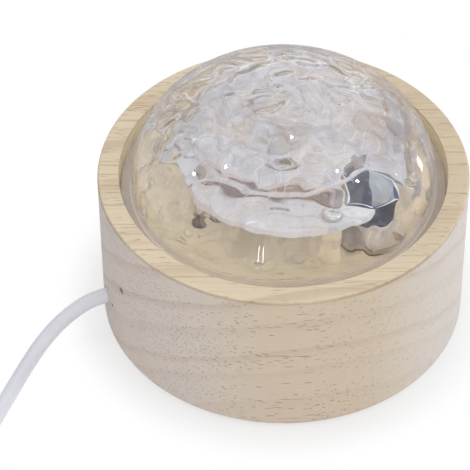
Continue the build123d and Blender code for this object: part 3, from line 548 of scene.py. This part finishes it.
# Emitter: a white ceramic body with a yellow phosphor under a small clear lens.
# The phosphor colour lies in the middle only; the lamp is off.
phosphor = Finish("emitter", Roughness=0.25, Coat_Weight=0.6)
lamp_circle = 0.0282
lamp_turn = math.radians(-36)
lamp_place = (lamp_circle * math.cos(lamp_turn), lamp_circle * math.sin(lamp_turn))
phosphor_reach = 0.0019
over_lamp = phosphor.place((1, 1, 0), shift=(-lamp_place[0], -lamp_place[1], 0))
from_middle = phosphor.reach(over_lamp)
phosphor_grain = phosphor.noise(phosphor.place(), 2500)
phosphor.feed(
    Base_Color=phosphor.blend(
        phosphor.ease(from_middle, phosphor_reach, phosphor_reach + 0.0003),
        phosphor.blend(phosphor_grain, tint(236, 206, 92), tint(226, 186, 70)),
        tint(235, 235, 232),
    ),
    Roughness=0.2 + 0.15 * phosphor_grain,
)
phosphor.lay_on("emitter")


# Reflector: a tall cup of six flat facets in two tiers, moulded and coated with bright metal.
# Each facet's colour is a painted reflection of another part of the room: one inside, and the upper
# tier outside, are painted deep blue-grey, and the others are painted white or silver.
tier_level = 0.0478
dark_from, dark_to = math.radians(94), math.radians(154)
mirror = Finish("bright facets", Metallic=1.0, Roughness=0.05)
speckle = mirror.noise(mirror.place(), 900, 3.0)
facet_spot = mirror.place(shift=(-lamp_place[0], -lamp_place[1], -tier_level))
facet_x, facet_y, facet_z = (mirror.part(facet_spot, axis) for axis in range(3))
past_first = math.cos(dark_from) * facet_y - math.sin(dark_from) * facet_x > 0
before_last = math.sin(dark_to) * facet_x - math.cos(dark_to) * facet_y > 0
bright = mirror.blend(mirror.ease(speckle, 0.3, 0.7), tint(246, 248, 250), tint(234, 238, 244))
deep = mirror.blend(mirror.ease(speckle, 0.3, 0.7), tint(44, 64, 112), tint(28, 46, 92))
facet = ((facet_y.math("ARCTAN2", facet_x) - dark_from) / (math.pi / 3)).math("FLOOR")
normal_spot = mirror.node("ShaderNodeTexCoord", output="Normal")
outer = mirror.part(normal_spot, 0) * facet_x + mirror.part(normal_spot, 1) * facet_y > 0
upper = facet_z > 0
# Painted reflections: this share picks the facets painted deep blue-grey, and a random pick per
# facet paints the others white or silver-blue.
painted_dark_share = (outer * upper).math("MAXIMUM", past_first * before_last)
own = mirror.node("ShaderNodeCombineXYZ", {}, {0: facet, 1: upper, 2: outer})
facet_reflection_pick = mirror.node("ShaderNodeTexWhiteNoise", {"noise_dimensions": "3D"}, {"Vector": own})
painted_bright_facet = mirror.blend(mirror.ease(facet_reflection_pick, 0.2, 0.6), tint(206, 213, 226), bright)
mirror.feed(
    Metallic=0.35 + 0.63 * painted_dark_share,
    Base_Color=mirror.blend(painted_dark_share, painted_bright_facet, deep),
    Roughness=0.03 + 0.06 * speckle,
)
mirror.lay_on("reflector")


# Ripple disc: a clear acrylic disc with rings of shallow dimples, turning on the hub.
# Like the dome it lets the lamps' light pass, with a little haze from handling.
class Clear(Finish):
    """Clear plastic: glass for the eye, under a pale dull film in places.

    The light that falls past it on other surfaces goes straight through.
    """

    def __init__(self, name, colour, index, haze):
        super().__init__(name, IOR=index, Transmission_Weight=1.0)
        film = self.noise(self.place(), 160, 4.0, 0.6)
        self.feed(Base_Color=colour, Roughness=haze * self.ease(film, 0.45, 0.8))

    def frost(self, share, colour):
        """Lays a film over a share of the glass, and lets light falling past go straight on."""
        glass = Term(self, self.shader.outputs[0])
        film = {"Base Color": colour, "Roughness": 0.7, "Specular IOR Level": 0.1}
        dull = self.node("ShaderNodeBsdfPrincipled", {}, film)
        body = self.node("ShaderNodeMixShader", {}, {0: share, 1: glass, 2: dull})
        past = self.node("ShaderNodeBsdfTransparent")
        glint = self.ray("Glossy") * self.turned(2)
        falling = self.ray("Shadow").math("MAXIMUM", self.ray("Diffuse").math("MAXIMUM", glint))
        shown = self.node("ShaderNodeMixShader", {}, {0: falling, 1: body, 2: past})
        self.join(self.output.inputs["Surface"], shown)

    def turned(self, times):
        """1 for rays that have been bent or turned back more than some number of times."""
        return self.node("ShaderNodeLightPath", output="Ray Depth") > times + 0.5


def round_surface(name, rings, closed=False):
    """A mesh of rings of points about the axis.

    Its first and last rings meet where it is closed, or else each has a point on the axis.
    """
    rows, columns = rings.shape[:2]
    if closed:
        points = rings.reshape(-1, 3)
        index = np.arange(rows * columns).reshape(rows, columns)
        lower = np.roll(index, -1, axis=0)
        caps = []
    else:
        ends = np.array([rings[0].mean(axis=0), rings[-1].mean(axis=0)])
        points = np.vstack([rings[1:-1].reshape(-1, 3), ends])
        index = np.arange((rows - 2) * columns).reshape(rows - 2, columns)
        index, lower = index[:-1], index[1:]
        first, last = len(points) - 2, len(points) - 1
        top, bottom = index[0], lower[-1]
        caps = np.column_stack([np.full(columns, first), top, np.roll(top, -1)]).tolist()
        caps += np.column_stack([np.full(columns, last), np.roll(bottom, -1), bottom]).tolist()
    after, lower_after = np.roll(index, -1, axis=1), np.roll(lower, -1, axis=1)
    walls = np.stack([index, lower, lower_after, after], axis=-1).reshape(-1, 4)
    made = bpy.data.meshes.new(name)
    made.from_pydata(points.tolist(), [], walls.tolist() + caps)
    made.polygons.foreach_set("use_smooth", np.ones(len(made.polygons), bool))
    made.update()
    piece = bpy.data.objects.new(name, made)
    bpy.context.scene.collection.objects.link(piece)
    return piece


disc_low, disc_high = 0.06047, 0.06245
disc_reach, disc_hole, disc_edge = 0.0250, 0.0031, 0.0005
dimple_rings = ((0.009, 7), (0.015, 12), (0.021, 17))
dimple_ball, dimple_depth = 0.0050, 0.0007
disc_round, disc_steps, under_steps = 420, 88, 12


def disc_mesh():
    """The disc as a closed section carried round: up the hole, out over the top, back underneath.

    A dimple takes sqrt(ball^2 - d^2) - (ball - depth) off the top at a distance d from its middle.
    """
    flat_reach = disc_reach - disc_edge
    over = np.linspace(disc_hole, flat_reach, disc_steps)
    turn = np.radians([60, 30, 0, -30, -60])
    side_r = flat_reach + disc_edge * np.cos(turn)
    side_z = np.where(turn > -0.1, disc_high - disc_edge, disc_low + disc_edge)
    side_z = side_z + disc_edge * np.sin(turn)
    under = np.linspace(flat_reach, disc_hole, under_steps)
    section_r = np.concatenate([over, side_r, under])
    flat_top, flat_under = np.full(disc_steps, disc_high), np.full(under_steps, disc_low)
    section_z = np.concatenate([flat_top, side_z, flat_under])
    around = np.arange(disc_round) * (2 * math.pi / disc_round)
    radius, angle = np.meshgrid(over, around, indexing="ij")
    sink = np.zeros_like(radius)
    for ring, (circle, count) in enumerate(dimple_rings):
        place = angle * count / (2 * math.pi) - 0.5 * (ring % 2)
        off = (place - np.round(place)) * 2 * math.pi / count
        apart = radius**2 + circle**2 - 2 * radius * circle * np.cos(off)
        cup = np.sqrt(np.maximum(dimple_ball**2 - apart, 0)) - (dimple_ball - dimple_depth)
        sink = np.maximum(sink, cup)
    rings = np.empty((len(section_r), disc_round, 3))
    rings[:, :, 0] = section_r[:, None] * np.cos(around)
    rings[:, :, 1] = section_r[:, None] * np.sin(around)
    rings[:, :, 2] = section_z[:, None]
    rings[:disc_steps, :, 2] -= sink
    return rings


disc_clear = Clear("clear disc", (0.965, 0.965, 0.97, 1.0), 1.49, 0.05)
disc_spread = disc_clear.reach(disc_clear.place((1, 1, 0)))
at_edge = disc_clear.ease(disc_spread, disc_reach - 0.0005, disc_reach - 0.0003)
disc_clear.frost(0.8 * at_edge, tint(228, 226, 230))
disc_piece = round_surface("clear_ripple_disc", disc_mesh(), closed=True)
disc_piece.data.materials.append(disc_clear.material)
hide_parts("ripple_disc")
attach(disc_piece, "rotor")


# Gasket: a soft pale ring under the dome's flange, bonded to it and to the wood.
# It takes up the wood's movement.
seal = moulded("seal", tint(208, 192, 174), 0.6, 0.05)
seal.lay_on("dome_gasket")


# Dome: clear moulded acrylic, smooth outside, with water-like ripples inside above a plain band.
# Its flange sits on a soft ring in the wood's seat. The outline is a crown arc and a tighter side
# arc that runs down into a short upright wall.
dome_wall = 0.0412
dome_spring = 0.0448
dome_rise = 0.0313
dome_side = 0.0259
dome_thick = 0.0020
flange_low, flange_high, flange_out = 0.0417, 0.0433, 0.0440
corner = 0.00035
ripple_depth = 0.00038
ripple_start, ripple_full = 0.0026, 0.0088
ripple_low, ripple_side = 0.0030, math.radians(222)
wave_count, wave_short, wave_step = 7, 0.0062, 0.0008
wave_bend, bend_stretch, wave_squash = 2.1, 2.1, 0.6
wave_sum, crest_power = 3.4, 0.85
golden_turn = 2.39996
dome_round, outer_steps, inner_steps = 416, 70, 118


def dome_arc(inset, count):
    """The dome's section from its top to the spring line, moved inwards by an inset.

    Two tangent arcs: the crown, of radius (a^2 + h^2 - s^2) / (2 (h - s)), where a is how far the
    side arc's middle stands off the axis, h the rise and s the side radius, and the side arc.
    """
    off = dome_wall - dome_side
    crown = (off**2 + dome_rise**2 - dome_side**2) / (2 * (dome_rise - dome_side))
    meet = math.atan2(crown - dome_rise, off)
    long_crown, long_side = crown * (math.pi / 2 - meet), dome_side * meet
    way = np.linspace(0, long_crown + long_side, count)
    on_crown = way < long_crown
    turn = np.where(on_crown, math.pi / 2 - way / crown, meet - (way - long_crown) / dome_side)
    size = np.where(on_crown, crown, dome_side) - inset
    middle_r = np.where(on_crown, 0.0, off)
    middle_z = np.where(on_crown, dome_spring + dome_rise - crown, dome_spring)
    return np.column_stack([middle_r + size * np.cos(turn), middle_z + size * np.sin(turn)])


def ripples(points):
    """Water-like waves at points in space, from -1 to 1.

    A sum of sines along spread directions, each bent by a slower sine across it, then sharpened
    a little at its crests.
    """
    total = np.zeros(points.shape[:-1])
    for wave in range(wave_count):
        lift = 1 - 2 * (wave + 0.5) / wave_count
        turn = wave * golden_turn
        flat = math.sqrt(1 - lift * lift)
        heading = np.array([flat * math.cos(turn), flat * math.sin(turn), lift * wave_squash])
        aside = np.array([-math.sin(turn), math.cos(turn), 0.5])
        length = wave_short + wave_step * ((wave * 3) % wave_count)
        slow = 2 * math.pi / (length * bend_stretch)
        bend = wave_bend * np.sin(points @ aside * slow + 1.7 * wave)
        total += np.sin(points @ heading * (2 * math.pi / length) + bend + 0.9 * wave)
    total /= wave_sum
    return np.sign(total) * np.abs(total) ** crest_power


def dome_mesh():
    """The dome as one closed surface: a section line carried round the axis as a grid.

    The section runs down the outside, round the flange and up the inside, whose points move along
    the section's own normal by depth x swell, where swell is the waves x a share that grows above
    the plain band, which is lower at the front left.
    """
    outside = dome_arc(0.0, outer_steps)
    inside = dome_arc(dome_thick, inner_steps)[::-1]
    inner = dome_wall - dome_thick
    foot = np.array(
        [
            (dome_wall, flange_high + corner),
            (dome_wall + corner, flange_high),
            (flange_out - corner, flange_high),
            (flange_out, flange_high - corner),
            (flange_out, flange_low + corner),
            (flange_out - corner, flange_low),
            (inner + corner, flange_low),
            (inner, flange_low + corner),
            (inner, (flange_low + dome_spring) / 2),
        ]
    )
    section = np.vstack([outside, foot, inside])
    around = np.arange(dome_round) * (2 * math.pi / dome_round)
    start = ripple_start - ripple_low * np.maximum(np.cos(around - ripple_side), 0)
    share = np.zeros((len(section), dome_round))
    rise = inside[:, 1:] - dome_spring
    step = np.clip((rise - start) / (ripple_full - start), 0, 1)
    share[len(outside) + len(foot) :] = step * step * (3 - 2 * step)
    tangent = np.gradient(section, axis=0)
    normal = np.column_stack([tangent[:, 1], -tangent[:, 0]])
    normal /= np.linalg.norm(normal, axis=1)[:, None]
    normal[-1] = (0, -1)
    spin = np.stack([np.cos(around), np.sin(around)], axis=1)
    rings = np.empty((len(section), dome_round, 3))
    rings[:, :, :2] = section[:, None, :1] * spin[None]
    rings[:, :, 2] = section[:, 1:]
    swell = share * ripples(rings)
    push = ripple_depth * swell
    rings[:, :, :2] += (push * normal[:, :1])[:, :, None] * spin[None]
    rings[:, :, 2] += push * normal[:, 1:]
    return rings, swell


# The film is a haze that follows the ripples: milky on the crown and peach low down. Along the
# crests and at the foot it carries painted light, and painted shade along the dips, at a slant and
# on the sides; it is thin by the light.
film_grey, film_tan, film_peach = tint(174, 169, 173), tint(196, 171, 146), tint(240, 218, 190)
painted_slant_shade, painted_side_shade, painted_dip_shade = tint(170, 162, 162), tint(150, 136, 130), tint(168, 142, 126)
painted_crest_light, painted_foot_light = tint(238, 236, 240), tint(252, 244, 247)
over_light = (0.026, -0.028, 0.062)
crest_swell, dip_swell = 0.32, -0.36
crown_from, crown_full = 0.053, 0.069
side_from, side_full = 0.018, 0.036

dome_clear = Clear("clear dome", (0.997, 0.994, 0.990, 1.0), 1.49, 0.03)
dome_spot = dome_clear.place()
sideways, dome_level = dome_clear.part(dome_spot, 0), dome_clear.part(dome_spot, 2)
swirl = dome_clear.noise(dome_spot, 85, 2.0, 0.5, 2.2)
warm = dome_clear.noise(dome_clear.place(shift=(0.2, 0.5, 0.1)), 55, 2.0, 0.5, 1.6)
swell = dome_clear.node("ShaderNodeAttribute", {"attribute_name": "swell"}, output="Fac")
slant = dome_clear.node("ShaderNodeLayerWeight", {}, {"Blend": 0.5}, "Facing")

high = dome_clear.ease(dome_level, crown_from, crown_full)
at_side = dome_clear.ease(sideways.math("ABSOLUTE"), side_from, side_full)
# Painted shade along the dome's outline, where it is seen at a slant.
slant_painted_shade_share = dome_clear.ease(slant, 0.50, 0.92)
off_light = dome_clear.ease(dome_clear.reach(dome_spot, over_light), 0.006, 0.015)
# Painted light along the ripples' crests and painted shade along their dips, on the crown.
crest_painted_light_share = (1 - dome_clear.ease((swell - crest_swell).math("ABSOLUTE"), 0.02, 0.15)) * high
dip_painted_shade_share = (1 - dome_clear.ease((swell - dip_swell).math("ABSOLUTE"), 0.02, 0.17)) * high
# Painted shade on the dome's side walls, stronger on the right side.
side_painted_shade_share = at_side * dome_clear.ease(dome_level, 0.0468, 0.0500) * (0.3 + 0.7 * (sideways > 0))
side_painted_shade_share = side_painted_shade_share * (0.5 + dome_clear.ease(swirl, 0.40, 0.60))
low_patch = dome_clear.ease(dome_level, 0.0480, 0.0510) * (1 - high)
low_patch = dome_clear.ease(warm, 0.47, 0.53) * low_patch

at_flange = 1 - dome_clear.ease(dome_level, flange_high, flange_high + 0.0008)
# Painted light: a pale film on the dome's foot, stronger on the sides, lightens the shaded seat
# seen through it.
foot_painted_light_share = 0.34 * (1 - dome_clear.ease(dome_level, 0.0453, 0.0470)) - 0.18 * at_flange
foot_painted_light_share = foot_painted_light_share * (1 + 0.9 * at_side)
milky = high * (0.08 + 0.18 * dome_clear.ease(swirl, 0.42, 0.60))
milky = milky + 0.32 * crest_painted_light_share + 0.18 * dip_painted_shade_share + 0.26 * side_painted_shade_share + 0.20 * low_patch
milky = milky * off_light + 0.44 * slant_painted_shade_share
# Painted shade: rays that have turned more than twice in the glass show the lit film in place of
# the view through the dome's far wall.
turned_ray_painted_shade = (0.7 + 0.25 * dome_clear.ease(swirl, 0.35, 0.65)) * dome_clear.turned(2)
film_share = foot_painted_light_share.math("MAXIMUM", milky.math("MAXIMUM", turned_ray_painted_shade))

film = dome_clear.blend(dome_clear.ease(warm, 0.46, 0.58), film_grey, film_tan)
film = dome_clear.blend(low_patch, film, film_peach)
# The film's tones: painted shade at a slant, on the sides and along the dips, and painted light
# along the crests and at the foot.
film = dome_clear.blend(0.6 * slant_painted_shade_share, film, painted_slant_shade)
film = dome_clear.blend(0.8 * at_side * high, film, painted_side_shade)
film = dome_clear.blend(0.5 * dip_painted_shade_share, film, painted_dip_shade)
film = dome_clear.blend(crest_painted_light_share, film, painted_crest_light)
film = dome_clear.blend(1 - dome_clear.ease(dome_level, 0.0460, 0.050), film, painted_foot_light)
dome_clear.frost(film_share, film)

dome_rings, dome_swell = dome_mesh()
dome_piece = round_surface("rippled_dome", dome_rings)
held_swell = dome_piece.data.attributes.new("swell", "FLOAT", "POINT")
held_swell.data.foreach_set(
    "value", np.append(dome_swell[1:-1].ravel(), dome_swell[[0, -1], 0]).astype(np.float32)
)
dome_piece.data.materials.append(dome_clear.material)
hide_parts("dome")
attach(dome_piece, "base")


# Wires: thin stranded wires with a plastic skin, in pairs of a pale one and one painted darker as
# the shade
# along the pair: from the cord to the board, from the board to the motor, and up through the web
# and over the deck to the light.
wire_radius = 0.0006
wire_apart = 0.00075
terminal_level = 0.0114
over_deck = 0.0573
wire_hole = (-0.02013, -0.01307)


def wire_skin(name, first, second):
    """A wire's thin plastic skin, a little uneven in colour and gloss."""
    skin = Finish(name, Roughness=0.4)
    uneven = skin.noise(skin.place(), 1400)
    skin.feed(Base_Color=skin.blend(uneven, first, second), Roughness=0.34 + 0.12 * uneven)
    return skin


# The dark wire's colour is painted shade, for the dark edges along each pair; both wires are pale.
wire_sides = (
    (-1, "left", wire_skin("dark wire", tint(134, 114, 112), tint(118, 98, 98))),
    (1, "right", wire_skin("pale wire", tint(226, 208, 202), tint(214, 194, 188))),
)


def laid_line(name, points, radius, finish):
    """A round line of plastic-coated wire or cord along one smooth spline of the second degree."""
    line = bpy.data.curves.new(name, "CURVE")
    line.dimensions = "3D"
    line.bevel_depth = radius
    line.bevel_resolution = 6
    line.use_fill_caps = True
    spline = line.splines.new("NURBS")
    spline.points.add(len(points) - 1)
    held = np.column_stack([np.array(points, float), np.ones(len(points))])
    spline.points.foreach_set("co", held.ravel())
    spline.order_u = 3
    spline.use_endpoint_u = True
    spline.resolution_u = 6
    line.materials.append(finish.material)
    piece = bpy.data.objects.new(name, line)
    bpy.context.scene.collection.objects.link(piece)
    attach(piece, "base")
    return piece


# A route's points, and at each the direction in which the pair's two wires stand apart.
wire_routes = {
    "supply_wires": [
        (-0.02288, -0.00621, 0.0126, 0, 1),
        (-0.0140, -0.0040, 0.0126, 0, 1),
        (-0.0060, 0.0014, terminal_level, 0, 1),
        (-0.0001, 0.0035, terminal_level, 0, 1),
    ],
    "motor_leads": [
        (-0.01474, 0.01032, 0.0155, -7.099, 4.971),
        (-0.0100, 0.0095, 0.0121, -0.5, 2),
        (-0.0040, 0.0086, terminal_level, 0, 1.4),
        (-0.0001, 0.0073, terminal_level, 0, 1),
    ],
    "lamp_leads": [
        (-0.0004, -0.0003, terminal_level, 0, 1),
        (-0.0070, -0.0046, 0.0129, 0.2, 1),
        (-0.0150, -0.0102, 0.0159, 0.4, 0.9),
        (*wire_hole, 0.0214, 0.5, -0.9),
        (*wire_hole, 0.0506, 0.5, -0.9),
        (wire_hole[0] + 0.0006, wire_hole[1] - 0.0005, over_deck + 0.0004, 0.5, -0.9),
        (-0.0130, -0.0186, over_deck, 0.3, 1),
        (-0.0020, -0.0204, over_deck, 0, 1),
        (0.0066, -0.0198, over_deck, 0, 1),
        (0.0124, -0.0206, over_deck, 0.2, 1),
        (0.0130, -0.0202, over_deck - 0.0050, 0.4, 1),
        (0.0154, -0.0180, 0.0480, 0.5, 1),
    ],
}
for pair, route in wire_routes.items():
    for side, label, skin in wire_sides:
        shift = side * wire_apart
        spots = [(x + dx * shift, y + dy * shift, z) for x, y, z, dx, dy in route]
        wire_piece = laid_line(f"{pair}_{label}", spots, wire_radius, skin)
        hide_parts(pair)


# Cord: a round white two-core cord of 4.2 mm, 1.5 m long, with a smooth soft plastic jacket.
# It is held in the base by the clamp, lies on the table round a wide bend to its switch, and goes
# on from there into a put-away coil of four layers, with the plug beside it.
cord_radius = 0.0021
switch_end = (-0.1404, -0.0220)
coil_middle = (-0.1118, 0.0060)
coil_outer = 0.0286
coil_pitch = 0.0048
coil_layers = 4
layer_turns = 2.125
turn_points = 18
climb = layer_turns / 9

jacket = moulded("white cord", tint(240, 241, 249), 0.42, 0.03, 1500, 0.00002, Coat_Weight=0.1)
jacket.lay_on("cord_entry")


def out_along(reach):
    """A point on the cord's straight way out of the base."""
    return (reach * math.cos(cord_angle), reach * math.sin(cord_angle), 0.0126)


lead_points = [
    out_along(0.0435),
    out_along(0.0530),
    (-0.0596, -0.0183, 0.0089),
    (-0.0657, -0.0235, 0.0045),
    (-0.0701, -0.0313, cord_radius),
    (-0.0737, -0.0412, cord_radius),
    (-0.0776, -0.0523, cord_radius),
    (-0.0820, -0.0634, cord_radius),
    (-0.0864, -0.0746, cord_radius),
    (-0.0949, -0.0833, cord_radius),
    (-0.1061, -0.0880, cord_radius),
    (-0.1228, -0.0880, cord_radius),
    (-0.1309, -0.0846, cord_radius),
    (-0.1371, -0.0785, 0.0033),
    (-0.1404, -0.0704, 0.0052),
    (-0.1404, -0.0600, 0.0052),
]
lead = laid_line("cord_to_switch", lead_points, cord_radius, jacket)
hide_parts("cord_lead")


def coil_line():
    """The coil's points: the radius goes in and out by layers, and each turn back climbs a layer.

    With t turns and l = t / turns per layer, the radius is outer - pitch x turns x fold(l), and
    the level rises by one pitch in a smooth step round each whole l.
    """
    total = coil_layers * layer_turns
    turns = np.linspace(0, total, int(total * turn_points) + 1)
    fold = (turns / layer_turns) % 2
    inward = np.where(fold <= 1, fold, 2 - fold)
    size = coil_outer - coil_pitch * layer_turns * inward
    back = layer_turns * np.arange(1, coil_layers)
    step = np.clip(((turns[:, None] - back) / climb + 1) / 2, 0, 1)
    level = (step * step * (3 - 2 * step)).sum(axis=1)
    turn = math.pi - 2 * math.pi * turns
    return np.column_stack(
        [
            coil_middle[0] + size * np.cos(turn),
            coil_middle[1] + size * np.sin(turn),
            cord_radius + level * coil_pitch,
        ]
    )


top_level = cord_radius + (coil_layers - 1) * coil_pitch
link_points = [
    (switch_end[0], switch_end[1], 0.0052),
    (switch_end[0], -0.0142, 0.0052),
    (switch_end[0], -0.0060, cord_radius),
]
tail_points = [
    (-0.0832, -0.0076, top_level),
    (-0.0851, -0.0175, 0.0129),
    (-0.0883, -0.0264, 0.0080),
    (-0.0923, -0.0347, 0.0040),
    (-0.0961, -0.0426, 0.0040),
]
coil_points = [tuple(point) for point in coil_line()]
all_points = link_points + coil_points + tail_points
coil = laid_line("cord_to_plug", all_points, cord_radius, jacket)
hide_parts("cord_link", "cord_coil", "cord_tail")


# Switch: two white moulded shells screwed round the cord, with a round push button on top.
# The button springs back after each press.
case_plastic = moulded("white case", tint(240, 241, 246), 0.45, 0.03, 2200, 0.00003)
case_plastic.lay_on("switch_base", "switch_cover", "switch_button", "plug_body")


# Plug: a flat four-contact plug for a low-voltage supply, its grip moulded on the cord's end.
# The folded steel shell holds a white insulator with four contacts.
insulator = moulded("tongue", tint(224, 224, 222), 0.5, 0.04)
insulator.lay_on("plug_tongue")
